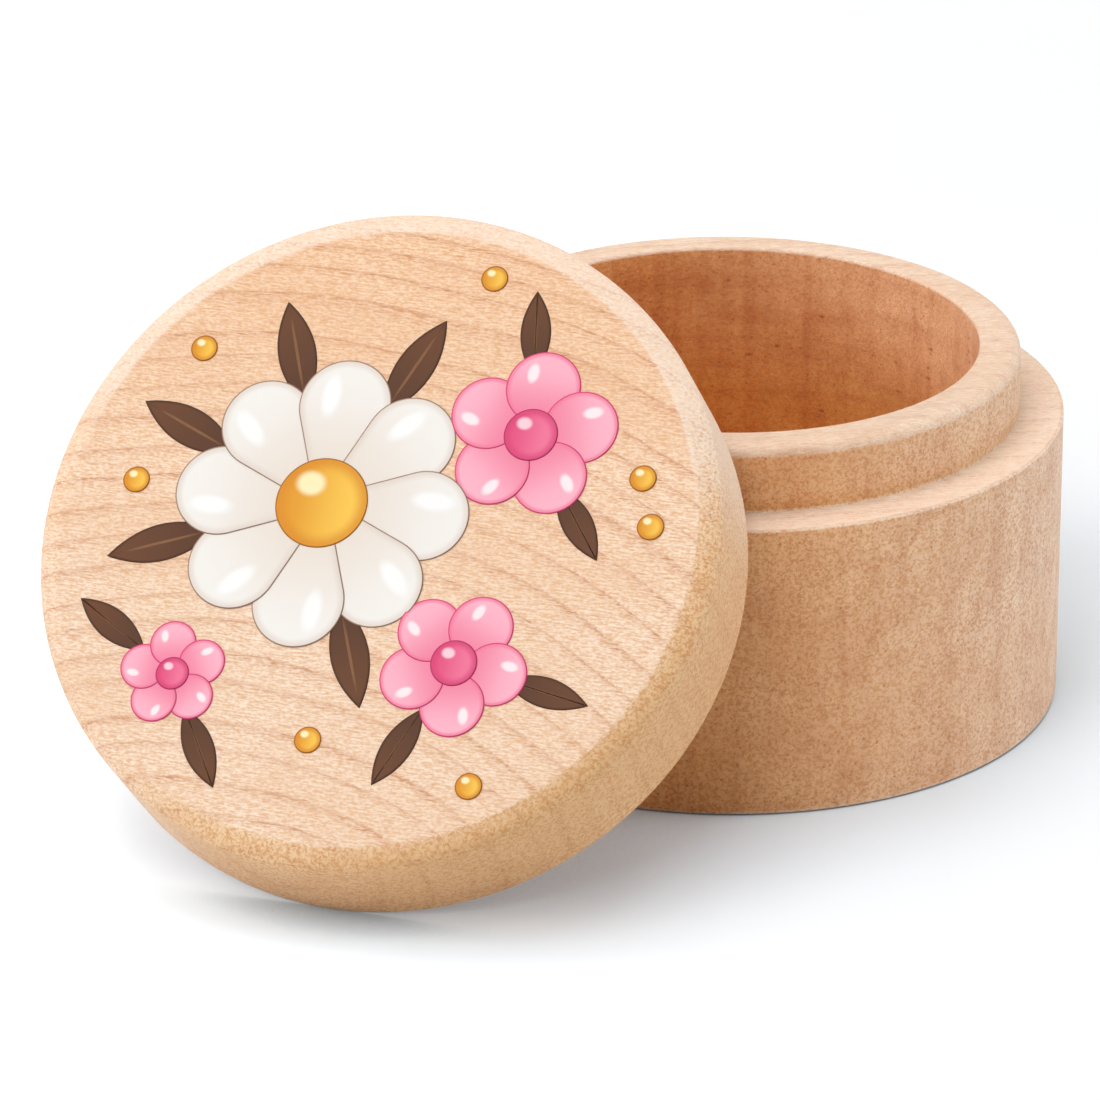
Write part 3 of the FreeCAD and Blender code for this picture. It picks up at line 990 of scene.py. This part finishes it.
# %% Printed inks
INK_ROUGHNESS = 0.5
INK_SHEEN = 0.2
FADE_START = 0.1                   # shares of a stroke's length
FADE_END = 0.9
BORDER_STRENGTH = 0.8
GLINT_CORE = 0.5                   # share of the highlight that is full
OUTLINE_CORE = 0.35                # shares of the outline's width
OUTLINE_END = 0.9


def printed_ink(name, root, tip, border, outline, glint, glint_place, glint_size):
    """Opaque printing ink: a fade along the stroke, a shaded border, an outline and a highlight."""
    material, tree, output = new_material(name)
    stroke = add_node(tree, "Attribute", attribute_name="stroke").outputs["Vector"]
    along, _, edge = add_node(tree, "SeparateXYZ", (stroke,)).outputs
    fade = add_node(tree, "MapRange", (along, FADE_START, FADE_END), **SMOOTH)
    colour = coat(tree, linear(root), tip, [fade], "MIX")
    shade = add_node(tree, "MapRange", (edge, 1.0, 2.0, BORDER_STRENGTH, 0.0), **SMOOTH)
    colour = coat(tree, colour, border, [shade], "MIX")
    moved = add_node(tree, "VectorMath", (stroke, glint_place), operation="SUBTRACT")
    sized = add_node(tree, "VectorMath", (moved, glint_size), operation="DIVIDE")
    away = add_node(tree, "VectorMath", (sized,), operation="LENGTH")
    highlight = add_node(tree, "MapRange", (away, GLINT_CORE, 1.0, 1.0, 0.0), **SMOOTH)
    colour = coat(tree, colour, glint, [highlight], "MIX")
    line = add_node(tree, "MapRange", (edge, OUTLINE_CORE, OUTLINE_END, 1.0, 0.0), **SMOOTH)
    colour = coat(tree, colour, outline, [line], "MIX")
    finish = {"Base Color": colour, "Roughness": INK_ROUGHNESS, "Specular IOR Level": INK_SHEEN}
    surface = add_node(tree, "BsdfPrincipled", finish)
    tree.links.new(surface.outputs[0], output.inputs["Surface"])
    print(name, root, "to", tip)
    return material


white_ink = printed_ink(
    "printed_white_ink", "E9DDD1", "F2EEE8", "E2D5CA", "9C7B66", "F9F8F6", (0.72, 0.34, 2), (0.2, 0.26, 9)
)
gold_ink = printed_ink(
    "printed_gold_ink", "E39A28", "F8C750", "D98A22", "A25F14", "FAEEBC", (0.34, 0.4, 2), (0.2, 0.34, 9)
)
pink_ink = printed_ink(
    "printed_pink_ink", "F284A2", "FBB4C6", "F07C9C", "D63F73", "FAEAEE", (0.7, 0.36, 2), (0.16, 0.2, 9)
)
rose_ink = printed_ink(
    "printed_rose_ink", "E2517F", "F0779B", "D64074", "B52A5E", "FAD0DA", (0.34, 0.4, 2), (0.18, 0.3, 9)
)
brown_ink = printed_ink(
    "printed_brown_ink", "52301B", "643C22", "4C2B17", "45260F", "8A5F3E", (0.5, 0.0, 2), (0.44, 0.09, 9)
)

# %% [markdown]
# The design is one large open flower with three small blossoms, dark leaves and gold berries. Places
# and sizes are shares of the print's radius. Each petal is tilted by a hair about its own length, so that it
# lies over the next one all the way round.

# %% Large flower
FLOWER_PLACE = (-0.2, 0.08)
FLOWER_REACH_SHARE = 0.5
FLOWER_PETALS = 8
PETAL_TIP_SHARE = 0.31
PETAL_ROOT_SHARE = 0.12
PETAL_ROOT_PLACE_SHARE = 0.2
PETAL_BORDER_SHARE = 0.05
PETAL_TILT = math.radians(0.3)
DISC_SHARE = 0.31
DISC_BORDER_SHARE = 0.1
PETAL_FILM = 0.05 * MM
DISC_FILM = 0.078 * MM

flower_reach = FLOWER_REACH_SHARE * PRINT_RADIUS


def flower(bm, layer, place, first_turn, reach, petals, tip_share):
    """A ring of petals, each a hair over the next."""
    tip_radius = tip_share * reach
    root_place, root_radius = PETAL_ROOT_PLACE_SHARE * reach, PETAL_ROOT_SHARE * reach
    shape = petal_shape(root_place, root_radius, reach - tip_radius, tip_radius)
    tilt = Matrix.Rotation(PETAL_TILT, 4, "X")
    for number in range(petals):
        turn = first_turn + number * 2 * math.pi / petals
        film(bm, layer, shape, face_place(*place, turn) @ tilt, PETAL_FILM, PETAL_BORDER_SHARE * reach)


bm, layer = new_print()
flower(bm, layer, FLOWER_PLACE, 0.0, flower_reach, FLOWER_PETALS, PETAL_TIP_SHARE)
finish_piece(bm, "print_white_flower", "lid", white_ink, "ink_white_flower")

bm, layer = new_print()
disc = dot_shape(DISC_SHARE * flower_reach)
film(bm, layer, disc, face_place(*FLOWER_PLACE), DISC_FILM, DISC_BORDER_SHARE * flower_reach)
finish_piece(bm, "print_gold_disc", "lid", gold_ink, "ink_gold_disc")

# %% [markdown]
# The blossoms are the same flower with fewer and rounder petals. All their petals make one piece in pink,
# and all their discs a second one in rose, because one ink is printed at a time.

# %% Blossoms
BLOSSOMS = (
    ((0.44, 0.4), 0.29, math.radians(16)),
    ((0.36, -0.4), 0.25, math.radians(-8)),
    ((-0.56, -0.56), 0.18, math.radians(30)),
)
BLOSSOM_PETALS = 5
BLOSSOM_TIP_SHARE = 0.43

petals_print, petals_layer = new_print()
discs_print, discs_layer = new_print()
for place, reach_share, first_turn in BLOSSOMS:
    reach = reach_share * PRINT_RADIUS
    flower(petals_print, petals_layer, place, first_turn, reach, BLOSSOM_PETALS, BLOSSOM_TIP_SHARE)
    disc = dot_shape(DISC_SHARE * reach)
    film(discs_print, discs_layer, disc, face_place(*place), DISC_FILM, DISC_BORDER_SHARE * reach)
finish_piece(petals_print, "print_pink_blossoms", "lid", pink_ink, "ink_pink_blossoms")
finish_piece(discs_print, "print_blossom_discs", "lid", rose_ink, "ink_blossom_discs")

# %% [markdown]
# Berries fill the gaps near the rim of the print. The leaves come out from under the flowers: their film is
# thinner than a petal's, so the petals lie on top and hide their roots. Angles are in degrees round
# the middle of the flower that a leaf belongs to.

# %% Berries and leaves
BERRIES = ((0.84, 0.3), (0.9, 0.14), (0.2, 0.92), (-0.72, 0.56), (-0.84, 0.08), (-0.06, -0.72), (0.5, -0.8))
BERRY_SHARE = 0.045
BERRY_BORDER_SHARE = 0.35
FLOWER_LEAF_SHARE = 0.38
FLOWER_LEAF_ANGLES = (68, 112, 158, 202, 293)
BLOSSOM_LEAF_SHARE = 0.3
BLOSSOM_LEAF_ANGLES = ((100, -52), (-10, 248), (150, 302))
LEAF_ROOT_SHARE = 0.7
LEAF_WIDTH_SHARE = 0.34
LEAF_FILM = 0.02 * MM

bm, layer = new_print()
berry_radius = BERRY_SHARE * PRINT_RADIUS
berry = dot_shape(berry_radius)
for place in BERRIES:
    film(bm, layer, berry, face_place(*place), PETAL_FILM, BERRY_BORDER_SHARE * berry_radius)
finish_piece(bm, "print_gold_berries", "lid", gold_ink, "ink_gold_berries")

sprays = [(FLOWER_PLACE, FLOWER_REACH_SHARE, FLOWER_LEAF_SHARE, FLOWER_LEAF_ANGLES)]
for (place, reach_share, _), angles in zip(BLOSSOMS, BLOSSOM_LEAF_ANGLES):
    sprays.append((place, reach_share, BLOSSOM_LEAF_SHARE, angles))
bm, layer = new_print()
for (share_x, share_y), reach_share, length_share, angles in sprays:
    length = length_share * PRINT_RADIUS
    leaf = leaf_shape(length, LEAF_WIDTH_SHARE * length)
    root = LEAF_ROOT_SHARE * reach_share
    for angle in map(math.radians, angles):
        place = face_place(share_x + root * math.cos(angle), share_y + root * math.sin(angle), angle)
        film(bm, layer, leaf, place, LEAF_FILM, OUTLINE_WIDTH / 2)
finish_piece(bm, "print_brown_leaves", "lid", brown_ink, "ink_brown_leaves")
